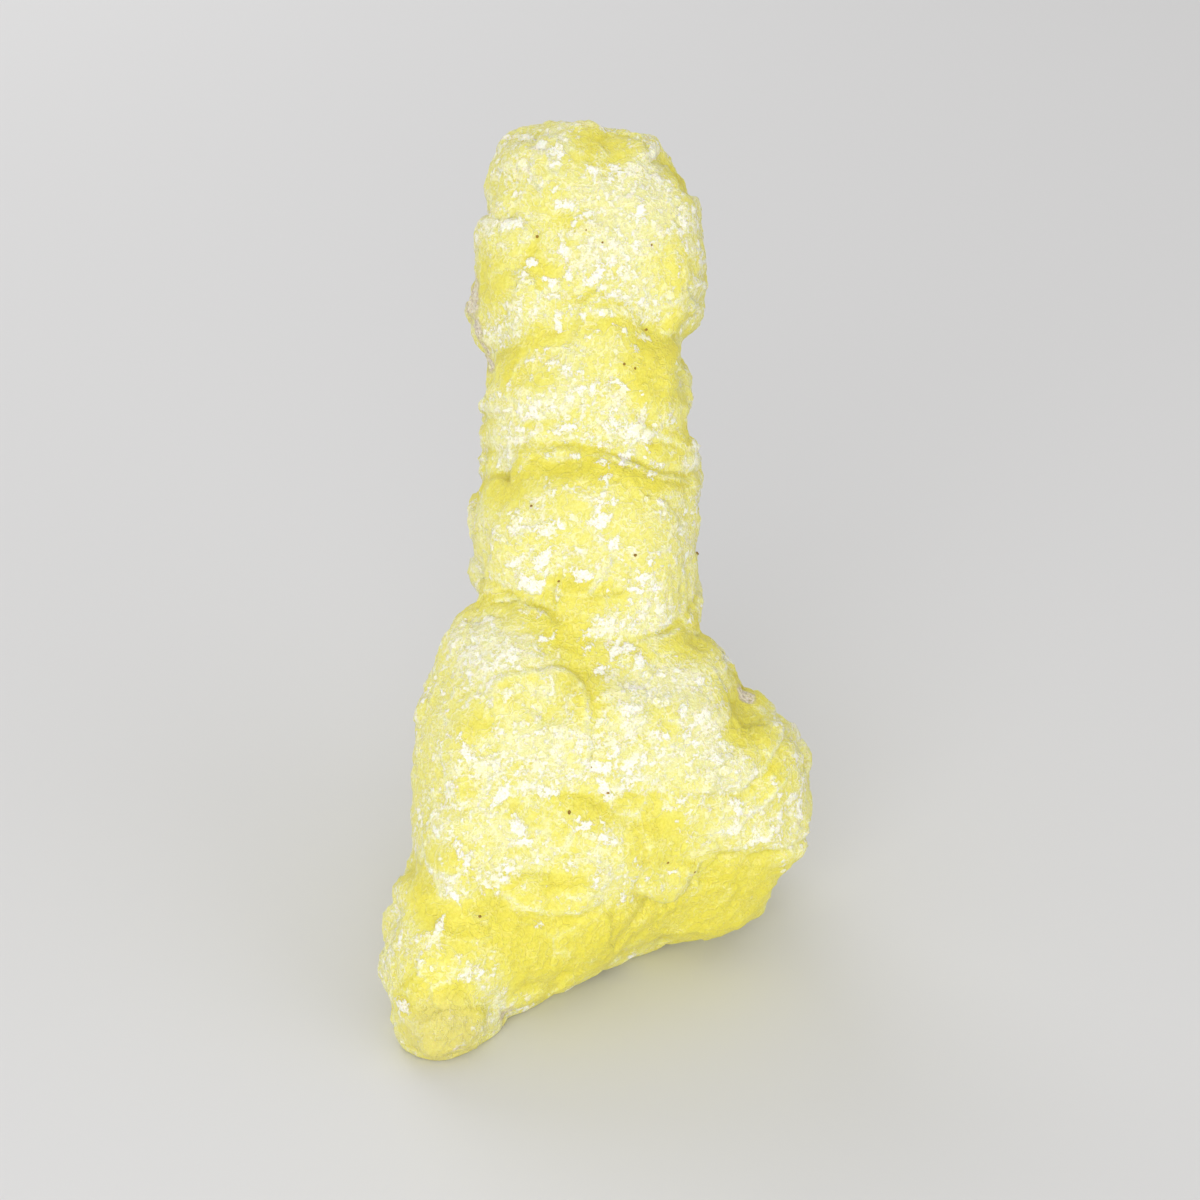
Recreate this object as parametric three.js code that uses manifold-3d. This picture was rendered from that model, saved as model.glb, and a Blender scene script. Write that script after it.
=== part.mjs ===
// Botryoidal brucite specimen: one natural piece, grown as clusters of rounded lobes fused together.
// A broad foot carries a leaning column of stacked cushions that ends in a rounded head.
// Units are millimetres, +Z up. The origin is under the middle of the specimen, on the surface it rests on.
import * as THREE from "three";
import { mergeVertices } from "three/addons/utils/BufferGeometryUtils.js";
import Module from "manifold-3d";

// ---- driving dimensions ----
const COLUMN_LEAN = 22; // degrees that the column leans back from the vertical
const COLUMN_START = 12; // height at which the column's middle line leaves the foot
const LOBE_FULLNESS = 2.8; // side of a lobe: 2 is an ellipsoid, more is closer to a drum
const KNOB_SPACING = 4.2; // shallow knobs that cover every cluster
const KNOB_HEIGHT = 1.3;
const KNOB_SUNK = 0.7; // share of a knob's height that lies below its lobe's own surface
const FACET_EDGE = 1.65; // about the length of a triangle's edge
const SURFACE_COLOUR = 0xe8dc58;

// The two frames that lobes are placed in: along the leaning column, and upright on the surface.
const COLUMN = { start: new THREE.Vector3(0, 0, COLUMN_START), lean: COLUMN_LEAN };
const GROUND = { start: new THREE.Vector3(0, 0, 0), lean: 0 };

// ---- clusters ----
// A lobe is placed at [right, back, up] in its frame and has half sizes [width, depth, height].
// The lobes of a cluster run softly into each other over its blend distance, and clusters meet in creases.
// A cluster's tilt raises the front edge of its lobes. All of its surface is in plain sight of its heart.
const TRUNK = {
  frame: COLUMN,
  tilt: 0,
  blend: 1,
  heart: [-1, 0, 33],
  lobes: [
    { at: [-1.5, 0, 41], half: [9, 8.5, 13] }, // behind the head, the waist and the collar
    { at: [-1, 0, 26], half: [9.5, 9, 14] }, // behind the great cushion
  ],
};
const HEAD = {
  frame: COLUMN,
  tilt: 12,
  blend: 3,
  heart: [-1, 0.5, 54],
  lobes: [
    { at: [-4.5, 0.5, 59.5], half: [6.5, 7.5, 6.5] }, // crown, left
    { at: [2.5, 0.5, 59.5], half: [4.5, 7, 5.5] }, // crown, right
    { at: [4.5, 0.5, 55], half: [5, 7, 5.5] }, // right shoulder
    { at: [4, 0.5, 50.5], half: [6, 7.5, 5.5] }, // right cheek
    { at: [-6, 0.5, 51], half: [6, 8, 6.5] }, // left cheek
    { at: [-8.5, 1, 47], half: [3, 5, 3.5] }, // left cheek, lower
    { at: [-1, 0.5, 50.5], half: [6, 8, 5.5] }, // front
    { at: [0, 0, 55.5], half: [5.5, 7, 5] }, // brow
  ],
};
const WART = {
  frame: COLUMN,
  tilt: 0,
  blend: 1,
  heart: [-11, 1.5, 49.5],
  lobes: [{ at: [-11, 1.5, 49.5], half: [2, 2.5, 2] }], // on the left cheek
};
const WAIST = {
  frame: COLUMN,
  tilt: 16,
  blend: 2,
  heart: [-1, -0.5, 41],
  lobes: [
    { at: [-5, -0.5, 41.5], half: [6, 8, 5] }, // left
    { at: [4, 0, 41], half: [5, 8, 5] }, // right
    { at: [-0.5, -0.5, 44], half: [6.5, 8.5, 5] }, // neck
    { at: [0, -0.5, 38.5], half: [7, 9, 4] }, // ledge
    { at: [-7, 0, 37], half: [4.5, 7, 4.5] }, // lower left
  ],
};
const COLLAR = {
  frame: COLUMN,
  tilt: 25,
  blend: 2,
  heart: [-1, -0.5, 34.5],
  lobes: [
    { at: [-1, -0.5, 34.5], half: [10.5, 9, 4] },
    { at: [5.5, -0.5, 33], half: [3.5, 7, 3] }, // bump at the right end
  ],
};
const GREAT_CUSHION = {
  frame: COLUMN,
  tilt: 20,
  blend: 3,
  heart: [-1, -1, 25],
  lobes: [
    { at: [-1.5, -1.5, 28.5], half: [10.5, 10, 5] }, // top
    { at: [-6.5, -1, 26.5], half: [5.5, 9, 6] }, // left
    { at: [3.5, -1, 25], half: [5.5, 9, 6.5] }, // right
    { at: [-1, -1, 20], half: [10, 9.5, 8.5] }, // bottom
  ],
};
const FOOT = {
  frame: GROUND,
  tilt: 0,
  blend: 5,
  heart: [-3, -3, 15],
  lobes: [
    { at: [-7.5, 0.5, 28], half: [7.5, 8, 6.5] }, // left shoulder
    { at: [-9, -4, 22], half: [7.5, 8, 7] }, // left face
    { at: [-1, -2, 23], half: [7, 8, 7.5] }, // middle of the face
    { at: [5, 0.5, 24.5], half: [7.5, 8, 7] }, // right shoulder
    { at: [8, -3, 18.5], half: [7, 7.5, 6.5] }, // right face
    { at: [15, 0.5, 19.5], half: [3.5, 5.5, 4] }, // right knob, upper
    { at: [15, -0.5, 14.5], half: [4.5, 6, 6] }, // right knob, lower
    { at: [9.5, -2, 8.5], half: [7.5, 7.5, 7] }, // right haunch
    { at: [-2.5, -6.5, 13], half: [9.5, 9, 8] }, // belly
    { at: [-12, -6, 16.5], half: [4.5, 8, 8] }, // left flank
    { at: [-12.5, -11.5, 11.5], half: [4, 6.5, 6.5] }, // left flank, lower
    { at: [-15.5, -16, 7], half: [5, 6.5, 5.5] }, // top of the toe
    { at: [-9, -12, 6], half: [6.5, 7, 6] }, // instep
    { at: [-3, -7.5, 6.5], half: [6.5, 6, 5.5] }, // instep, middle
    { at: [3.5, -2, 5], half: [5, 5, 4.5] }, // middle toe
    { at: [-1, 6.5, 19], half: [12.5, 10.5, 10.5] }, // back, upper
    { at: [-11.5, 3.5, 9], half: [6.5, 8.5, 8.5] }, // back, left
    { at: [-5.5, 10, 8.5], half: [9, 9.5, 9] }, // heel, left
    { at: [6.5, 9, 9.5], half: [9.5, 10, 9.5] }, // heel, right
    { at: [1.5, 14.5, 5.5], half: [8, 6.5, 6] }, // heel, rear
  ],
};
const TOE = {
  frame: GROUND,
  tilt: 0,
  blend: 3,
  heart: [-14, -18, 3],
  lobes: [
    { at: [-15, -18.5, 4], half: [4.5, 5.5, 5] }, // tip
    { at: [-12.5, -17.5, 2.5], half: [4, 4.5, 3.5] }, // tip, right
  ],
};

// ---- lobes and knobs as distances ----
function turnAboutX(degrees) {
  const axis = new THREE.Vector3(1, 0, 0);
  return new THREE.Quaternion().setFromAxisAngle(axis, THREE.MathUtils.degToRad(degrees));
}

function placedIn(frame, at) {
  return new THREE.Vector3(...at).applyQuaternion(turnAboutX(-frame.lean)).add(frame.start);
}

// Distance from a point to a lobe, below zero inside; close to exact near the lobe's surface.
function lobeDistance(point, { middle, half, unturn }) {
  const { x, y, z } = point.clone().sub(middle).applyQuaternion(unturn).divide(half);
  const plan = Math.max(Math.hypot(x, y), 1e-6);
  const rise = Math.abs(z);
  const reach = Math.pow(Math.pow(plan, LOBE_FULLNESS) + Math.pow(rise, LOBE_FULLNESS), 1 / LOBE_FULLNESS);
  const slopeOut = Math.pow(plan / reach, LOBE_FULLNESS - 1) * (Math.hypot(x / half.x, y / half.y) / plan);
  const slopeUp = Math.pow(rise / reach, LOBE_FULLNESS - 1) / half.z;
  return (reach - 1) / Math.hypot(slopeOut, slopeUp);
}

function blended(a, b, blend) {
  const share = Math.max(blend - Math.abs(a - b), 0) / blend;
  return Math.min(a, b) - (share * share * blend) / 4;
}

// A number from 0 to 1 that is always the same for a cell and a channel.
function scatter(i, j, k, channel) {
  const cellsAcross = 131;
  return THREE.MathUtils.seededRandom(((i * cellsAcross + j) * cellsAcross + k) * 3 + channel);
}

// Domes packed at random, one to a cell: 1 over a dome's middle, falling to the creases between domes.
function domes(point) {
  const { x, y, z } = point.clone().divideScalar(KNOB_SPACING);
  let closest = 1;
  for (let i = Math.floor(x) - 1; i <= Math.floor(x) + 1; i++)
    for (let j = Math.floor(y) - 1; j <= Math.floor(y) + 1; j++)
      for (let k = Math.floor(z) - 1; k <= Math.floor(z) + 1; k++) {
        const dx = i + scatter(i, j, k, 0) - x;
        const dy = j + scatter(i, j, k, 1) - y;
        const dz = k + scatter(i, j, k, 2) - z;
        closest = Math.min(closest, dx * dx + dy * dy + dz * dz);
      }
  return 1 - closest;
}

// ---- solids ----
const wasm = await Module();
wasm.setup();

function solidFrom(geometry) {
  geometry.deleteAttribute("normal");
  geometry.deleteAttribute("uv");
  const { attributes, index } = mergeVertices(geometry, 1e-4);
  const vertProperties = attributes.position.array;
  const triVerts = new Uint32Array(index.array);
  return new wasm.Manifold(new wasm.Mesh({ numProp: 3, vertProperties, triVerts }));
}

// A large ball round the cluster's heart, each of its points drawn in until it lies on the knobbed lobes.
function clusterSolid({ frame, tilt, blend, heart, lobes }) {
  const placed = lobes.map(({ at, half }) => ({
    middle: placedIn(frame, at),
    half: new THREE.Vector3(...half),
    unturn: turnAboutX(frame.lean + tilt),
  }));
  const box = new THREE.Box3();
  for (const { middle, half } of placed) {
    box.expandByPoint(middle.clone().add(half));
    box.expandByPoint(middle.clone().sub(half));
  }
  const size = box.getSize(new THREE.Vector3());
  const centre = placedIn(frame, heart);
  const meanRadius = (size.x + size.y) / 4;
  const undividedEdge = 1.1 * meanRadius;
  const ball = new THREE.IcosahedronGeometry(1, Math.round(undividedEdge / FACET_EDGE));
  const position = ball.attributes.position;
  const point = new THREE.Vector3();
  const inward = new THREE.Vector3();
  const drawSteps = 60;
  const drawShare = 0.7;
  for (let i = 0; i < position.count; i++) {
    point.fromBufferAttribute(position, i).multiply(size);
    inward.copy(point).normalize().negate();
    point.add(centre);
    for (let step = 0; step < drawSteps; step++) {
      const body = placed.map((lobe) => lobeDistance(point, lobe)).reduce((a, b) => blended(a, b, blend));
      const knob = KNOB_HEIGHT * (domes(point) - KNOB_SUNK);
      point.addScaledVector(inward, drawShare * (body - knob));
    }
    position.setXYZ(i, point.x, point.y, point.z);
  }
  return solidFrom(ball);
}

function blockBelowSurface() {
  const size = 200;
  return solidFrom(new THREE.BoxGeometry(size, size, size).translate(0, 0, -size / 2));
}

// ---- the specimen, cut flat where it rests ----
function brucite() {
  const clusters = [TRUNK, HEAD, WART, WAIST, COLLAR, GREAT_CUSHION, FOOT, TOE];
  const fused = clusters.map(clusterSolid).reduce((a, b) => a.add(b));
  const mesh = fused.subtract(blockBelowSurface()).getMesh();
  const geometry = new THREE.BufferGeometry();
  geometry.setAttribute("position", new THREE.BufferAttribute(mesh.vertProperties, 3));
  geometry.setIndex(new THREE.BufferAttribute(mesh.triVerts, 1));
  geometry.computeBoundingBox();
  const { min, max } = geometry.boundingBox;
  geometry.translate(-(min.x + max.x) / 2, -(min.y + max.y) / 2, -min.z);
  geometry.computeVertexNormals();
  const material = new THREE.MeshStandardMaterial({ color: SURFACE_COLOUR, roughness: 0.55, metalness: 0 });
  const piece = new THREE.Mesh(geometry, material);
  piece.name = "brucite_crystal";
  return piece;
}

const specimen = new THREE.Group();
specimen.add(brucite());
export default specimen;
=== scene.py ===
import math

import bmesh
import bpy
import numpy as np
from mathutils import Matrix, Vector, noise
from mathutils.bvhtree import BVHTree
from mathutils.kdtree import KDTree


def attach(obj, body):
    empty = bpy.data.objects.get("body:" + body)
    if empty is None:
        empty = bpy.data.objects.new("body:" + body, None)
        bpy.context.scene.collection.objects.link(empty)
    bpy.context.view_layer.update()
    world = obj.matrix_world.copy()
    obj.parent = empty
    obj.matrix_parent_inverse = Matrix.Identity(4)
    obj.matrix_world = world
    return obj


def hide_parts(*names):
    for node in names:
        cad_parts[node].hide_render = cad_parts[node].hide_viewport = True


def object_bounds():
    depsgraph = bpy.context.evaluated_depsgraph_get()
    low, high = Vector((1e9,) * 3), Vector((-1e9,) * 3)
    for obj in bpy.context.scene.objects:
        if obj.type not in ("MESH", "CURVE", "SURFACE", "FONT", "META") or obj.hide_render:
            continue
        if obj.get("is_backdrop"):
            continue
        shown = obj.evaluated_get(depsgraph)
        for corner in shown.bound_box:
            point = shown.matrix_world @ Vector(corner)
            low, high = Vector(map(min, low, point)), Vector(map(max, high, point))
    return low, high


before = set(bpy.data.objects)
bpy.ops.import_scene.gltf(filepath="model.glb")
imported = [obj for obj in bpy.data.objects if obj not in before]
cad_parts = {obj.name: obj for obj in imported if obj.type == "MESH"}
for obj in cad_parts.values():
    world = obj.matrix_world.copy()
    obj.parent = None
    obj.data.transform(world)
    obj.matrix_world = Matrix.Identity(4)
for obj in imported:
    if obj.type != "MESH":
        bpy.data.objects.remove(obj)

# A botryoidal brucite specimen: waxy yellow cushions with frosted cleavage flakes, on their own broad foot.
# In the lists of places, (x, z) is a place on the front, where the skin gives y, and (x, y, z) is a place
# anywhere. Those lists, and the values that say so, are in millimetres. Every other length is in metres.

MM = 0.001
CAD_LOW, CAD_HIGH = (np.array(corner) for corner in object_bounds())
CENTRE = (CAD_LOW + CAD_HIGH) / 2
FAR = 1.0  # further than any place on the specimen is from any other
BASE_EASE = 1.0 * MM  # the relief fades out this far above the flat face that the specimen rests on


def smooth_step(value, start, end):
    """0 before start, 1 after end, and smooth in between."""
    share = np.clip((value - start) / (end - start), 0, 1)
    return share * share * (3 - 2 * share)


def bell(distance, width):
    """1 at no distance, falling off smoothly to nearly 0 at twice the width."""
    return np.exp(-((distance / width) ** 2))


def near_spot(places, spot, full, reach):
    """1 up to the full distance from a spot, 0 beyond its reach, and smooth in between."""
    return 1 - smooth_step(np.linalg.norm(places - np.array(spot), axis=1), full, reach)


def select_only(piece):
    bpy.ops.object.select_all(action="DESELECT")
    piece.select_set(True)
    bpy.context.view_layer.objects.active = piece


def apply_modifier(piece, kind, **settings):
    select_only(piece)
    modifier = piece.modifiers.new(kind.lower(), kind)
    for name, value in settings.items():
        setattr(modifier, name, value)
    bpy.ops.object.modifier_apply(modifier=modifier.name)


def read_numbers(items, name, columns, kind):
    """A property of every item of a mesh, with a row for each item."""
    numbers = np.empty(len(items) * columns, kind)
    items.foreach_get(name, numbers)
    return numbers.reshape(-1, columns)


def vertex_places(piece):
    return read_numbers(piece.data.vertices, "co", 3, np.float32).astype(float)


def vertex_normals(piece):
    return read_numbers(piece.data.vertex_normals, "vector", 3, np.float32).astype(float)


def move_vertices(piece, places):
    """Moves the vertices to their new places, but never out of the solid's box."""
    piece.data.vertices.foreach_set("co", np.clip(places, CAD_LOW, CAD_HIGH).astype(np.float32).ravel())
    piece.data.update()


def raise_skin(piece, heights):
    """Moves each vertex along its normal, but leaves the flat face that the piece rests on."""
    places = vertex_places(piece)
    free = smooth_step(places[:, 2], 0, BASE_EASE)
    move_vertices(piece, places + vertex_normals(piece) * (heights * free)[:, None])


def paint(piece, name, values):
    """Gives each vertex a number that the materials read by its name."""
    attribute = piece.data.attributes.get(name) or piece.data.attributes.new(name, "FLOAT", "POINT")
    attribute.data.foreach_set("value", values.astype(np.float32))


def new_object(name, data):
    thing = bpy.data.objects.new(name, data)
    bpy.context.scene.collection.objects.link(thing)
    return thing


def surface_of(piece):
    """The surface of a piece, for casting rays at it and for finding its nearest place."""
    return BVHTree.FromObject(piece, bpy.context.evaluated_depsgraph_get())


def tree_of(points):
    """The points, sorted so that the nearest ones are found fast."""
    tree = KDTree(len(points))
    for i, point in enumerate(points):
        tree.insert(point, i)
    tree.balance()
    return tree


def distance_to(tree, places):
    return np.array([tree.find(place)[2] for place in places])


def averaged(piece, values, rounds):
    """Values blurred along the edges of the mesh."""
    a, b = read_numbers(piece.data.edges, "vertices", 2, np.int32).T
    count = len(piece.data.vertices)
    links = np.bincount(a, minlength=count) + np.bincount(b, minlength=count)
    for _ in range(rounds):
        total = np.bincount(a, values[b], count) + np.bincount(b, values[a], count)
        values = 0.5 * values + 0.5 * total / links
    return values


# ---- noise and cells ----
SEED_SHIFT = (17.3, 5.1, 9.7)
CELL_PRIMES = (73856093, 19349663, 83492791)
SEED_PRIME = 2654435761
SALTS = (0x9E3779B1, 0x85EBCA77, 0xC2B2AE3D)
MIXER = 0x27D4EB2F


def smooth_noise(places, size, seed):
    """Soft noise from about -1 to 1 with features of one size."""
    shift = Vector([seed * way for way in SEED_SHIFT])
    return np.array([noise.noise(Vector(place) / size + shift) for place in places])


def bend(places, amount, size, seeds):
    """A soft noise to shift each place by, so that the cells on them have bent edges."""
    return amount * np.stack([smooth_noise(places, size, seed) for seed in seeds], axis=1)


def hashed(cells, seed):
    """Three steady random numbers from 0 to 1 for each whole-number cell."""
    x, y, z = (cells[..., axis] * prime for axis, prime in enumerate(CELL_PRIMES))
    key = x ^ y ^ z ^ seed * SEED_PRIME
    numbers = []
    for salt in SALTS:
        mixed = (key ^ (key >> 15)) * salt & 0xFFFFFFFF
        mixed = (mixed ^ (mixed >> 13)) * MIXER & 0xFFFFFFFF
        numbers.append(((mixed ^ (mixed >> 16)) & 0xFFFFFF) / 0xFFFFFF)
    return np.stack(numbers, axis=-1)


def cells_of(places, size, seed):
    """For each place: distance to its nearest seed point and to the next one, both in cell sizes,
    the cell's random numbers, and the way from the seed point to the place."""
    scaled = places / size
    base = np.floor(scaled).astype(np.int64)
    nearest = np.full(len(places), np.inf)
    second = np.full(len(places), np.inf)
    numbers = np.zeros((len(places), 3))
    way = np.zeros((len(places), 3))
    for offset in np.ndindex(3, 3, 3):
        cell = base + np.array(offset) - 1
        to_place = scaled - (cell + hashed(cell, seed))
        distance = np.linalg.norm(to_place, axis=1)
        closer = distance < nearest
        second = np.where(closer, nearest, np.minimum(second, distance))
        nearest = np.where(closer, distance, nearest)
        numbers[closer] = hashed(cell[closer], seed + 1)
        way[closer] = to_place[closer]
    return nearest, second, numbers, way


# ---- the skin ----
WELD = 0.001 * MM
VOXEL = 0.352 * MM  # edge of a face of the fine skin
SOFTEN_ROUNDS = 6
SOFTEN_STRENGTH = 0.5
SETTLE = 0.35 * MM  # the skin is drawn in by this much first, so that its bumps end where the solid does

# the front is eased into broad swells, and only the lines below are cut back into it
EASE_ROUNDS = 160
EASE_FACING = 0.4  # skin that faces the front by this much, of 1, is eased in full
EASE_BLUR_ROUNDS = 12
EASE_LEVELS = 10
FLANK_FACING = 0.45  # skin that faces the front by this much is no longer flank

CREASE_ANGLE = math.radians(32)  # a concave edge of the solid that bends more than this lies in a crease
CREASE_DEPTH = 0.20 * MM
CREASE_WIDTH = 0.45 * MM
CREASE_PITCH = 0.3 * MM  # how close together the points along a crease are


def merge_loose_triangles(piece):
    select_only(piece)
    bpy.ops.object.mode_set(mode="EDIT")
    bpy.ops.mesh.select_all(action="SELECT")
    bpy.ops.mesh.remove_doubles(threshold=WELD)
    bpy.ops.object.mode_set(mode="OBJECT")


def crease_points(mesh):
    """Points along every sharp concave edge of the solid."""
    solid = bmesh.new()
    solid.from_mesh(mesh)
    points = []
    for edge in solid.edges:
        if edge.calc_face_angle_signed(0) < -CREASE_ANGLE:
            start, end = (corner.co for corner in edge.verts)
            steps = max(2, math.ceil(edge.calc_length() / CREASE_PITCH))
            points += [start.lerp(end, i / steps) for i in range(steps + 1)]
    solid.free()
    return tree_of(points)


def facing_front(skin, full):
    """0 for skin that faces sideways or back, 1 where it faces the front by the full amount or more."""
    return smooth_step(-vertex_normals(skin)[:, 1], 0.0, full)


def ease_front(skin):
    """Smooths the front far more than the rest, and returns how much each vertex was eased."""
    eased = averaged(skin, facing_front(skin, EASE_FACING), EASE_BLUR_ROUNDS)
    group = skin.vertex_groups.new(name="eased")
    for level in range(1, EASE_LEVELS + 1):
        members = np.flatnonzero(np.round(eased * EASE_LEVELS) == level)
        group.add(members.tolist(), level / EASE_LEVELS, "REPLACE")
    apply_modifier(skin, "SMOOTH", factor=SOFTEN_STRENGTH, iterations=EASE_ROUNDS, vertex_group=group.name)
    skin.vertex_groups.clear()
    return eased


def skin_of(node):
    """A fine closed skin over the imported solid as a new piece, the points along the solid's creases, and how
    strongly each vertex lies in a crease."""
    skin = new_object("brucite_skin", node.data.copy())
    merge_loose_triangles(skin)
    creases = crease_points(skin.data)
    apply_modifier(skin, "REMESH", mode="VOXEL", voxel_size=VOXEL)
    apply_modifier(skin, "SMOOTH", factor=SOFTEN_STRENGTH, iterations=SOFTEN_ROUNDS)
    eased = ease_front(skin)
    distance = distance_to(creases, vertex_places(skin))
    return skin, creases, bell(distance, CREASE_WIDTH) * (1 - eased)


def flank_of(skin):
    """1 on the sides and back of the skin, 0 where it faces the front."""
    return 1 - facing_front(skin, FLANK_FACING)


# ---- relief: dents, plates, domes and ripples ----
# where the skin is pressed in, or swollen if the depth is less than 0: (x, y, z), radius, depth
DENTS = [
    ((7.5, 18.5, 71.5), 3.5, 1.1), ((-7, 19.5, 73.5), 4.0, 1.5), ((-1, 19.5, 73.5), 3.0, -0.4),
    ((8, 19, 68.5), 2.5, -0.5), ((-1.5, 8.5, 60.5), 2.5, -0.35), ((-10.5, 11, 52), 3.5, 1.2),
    ((8.5, 10.5, 52.5), 3.5, 1.3), ((-12, 3, 35), 3.5, 1.4), ((9.5, 2, 30.5), 3.0, 0.4),
    ((19, -8, 13), 4.5, -0.9), ((-19.5, -18, 10.5), 3.5, 1.5),
]

PLATE_SIZE = 5.0 * MM  # overlapping plates, each a little higher or lower than its neighbours
PLATE_STEP = 0.15 * MM
PLATE_TILT = 1.5
PLATE_CELLS = 11
PLATE_BENDS = [(0.9 * MM, 4 * MM, (1, 2, 3)), (0.3 * MM, 1.2 * MM, (31, 32, 33))]  # amount, size, seeds
HEM_BAND = (0.01, 0.09)  # where a plate's hem fades out, going in from its border, in plate sizes
HEM_PATCHES = (3.5 * MM, 15)  # size and seed of the patches in which hems show
HEM_PATCH_EDGE = (-0.1, 0.3)
HEM_FROST = 0.7  # how frosted a plate's hem is, beside a raised edge of the front

DOME_SIZE = 2.9 * MM  # small round bumps
DOME_HEIGHT = 0.45 * MM
DOME_CELLS = 23
DOME_BEND = (0.5 * MM, 2 * MM, (4, 5, 6))
DOME_CROWN = 0.30
DOME_SHARE, DOME_SHARE_ON_FLANK = 0.7, 1.3  # of their height everywhere, and what flanks and undersides add
UNDERNEATH = (0.1, 0.5)  # how far skin has to face down to count as an underside

RIPPLE_SIZE = 1.1 * MM
RIPPLE_HEIGHT = 0.12 * MM
RIPPLE_SEED, BROAD_RIPPLE_SEED = 7, 17
BROAD_RIPPLES = 1.8  # the size of the broad ripples, in sizes of the fine ones
BROAD_SHARE, BROAD_SHARE_ON_FLANK = 0.5, 1.5  # of their height everywhere, and what flanks add


def press_dents(skin):
    places = vertex_places(skin)
    for spot, radius, depth in DENTS:
        raise_skin(skin, -depth * MM * near_spot(places, np.array(spot) * MM, 0, radius * MM))


def add_plates(skin):
    """Overlapping plates, each tilted a little, and how near each vertex is to a plate's hem."""
    places = vertex_places(skin)
    bent = places
    for amount, size, seeds in PLATE_BENDS:
        bent = bent + bend(places, amount, size, seeds)
    nearest, second, numbers, way = cells_of(bent, PLATE_SIZE, PLATE_CELLS)
    tilt = ((numbers - 0.5) * way).sum(axis=1) * 2
    raise_skin(skin, PLATE_STEP * (2 * numbers[:, 0] - 1 + PLATE_TILT * tilt))
    hem = 1 - smooth_step(second - nearest, *HEM_BAND)
    return hem * smooth_step(smooth_noise(places, *HEM_PATCHES), *HEM_PATCH_EDGE)


def add_domes(skin):
    places = vertex_places(skin)
    nearest, _, numbers, _ = cells_of(places + bend(places, *DOME_BEND), DOME_SIZE, DOME_CELLS)
    domes = (DOME_CROWN - nearest**2) * (0.5 + numbers[:, 1])
    underneath = smooth_step(-vertex_normals(skin)[:, 2], *UNDERNEATH)
    share = DOME_SHARE + DOME_SHARE_ON_FLANK * np.maximum(flank_of(skin), underneath)
    raise_skin(skin, domes * DOME_HEIGHT * share)


def ridges_of(places, size, seed):
    """Sharp ridges along the lines where a soft noise passes its middle value."""
    return 0.5 - 2 * np.abs(smooth_noise(places, size, seed))


def add_ripples(skin):
    places = vertex_places(skin)
    fine = ridges_of(places, RIPPLE_SIZE, RIPPLE_SEED)
    broad = ridges_of(places, BROAD_RIPPLES * RIPPLE_SIZE, BROAD_RIPPLE_SEED)
    broad_share = BROAD_SHARE + BROAD_SHARE_ON_FLANK * flank_of(skin)
    raise_skin(skin, RIPPLE_HEIGHT * (fine + broad * broad_share))


# ---- lines on the front, drawn from left to right ----
LINE_PITCH = 0.2 * MM  # how close together the points of a line are
LINE_LEAST_POINTS = 8
LINE_WANDER = 0.35 * MM
LINE_WANDER_SIZE = 1.6 * MM
LINE_WANDER_SEEDS = (21, 22)
LINE_REACH = 6 * MM  # a line moves no skin that lies this far outside its own box
LINE_TAPER = 0.15  # the share of a line's length over which each of its ends fades out
LINE_STRENGTH, LINE_UNEVENNESS = 0.75, 0.6
LINE_UNEVEN_SIZE, LINE_UNEVEN_SEED = 3 * MM, 24
FLANK_REACH = 7 * MM  # how far back a line runs on around the flank
FLANK_SIDE = 60 * MM  # an x well beside the specimen
FOOT_TOP, COLUMN_START = 33 * MM, 42 * MM  # the foot turns into the column between these heights
COLUMN_LEAN = math.radians(22)
COLUMN_AXIS = np.array([0, math.sin(COLUMN_LEAN), math.cos(COLUMN_LEAN)])
LEAN_SLOPE = math.tan(COLUMN_LEAN)

STEP_FULL = 0.3  # the share of a step's reach where it still has its full height
STEP_SOFTNESS = 0.25 * MM
STEP_UNDERCUT = 0.35  # the groove under a step's edge, as a share of the step's height
UNDERCUT_PLACE, UNDERCUT_WIDTH = 0.45 * MM, 0.35 * MM
STEP_EDGE_PLACE, STEP_EDGE_WIDTH = 0.15 * MM, 0.28 * MM

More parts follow.
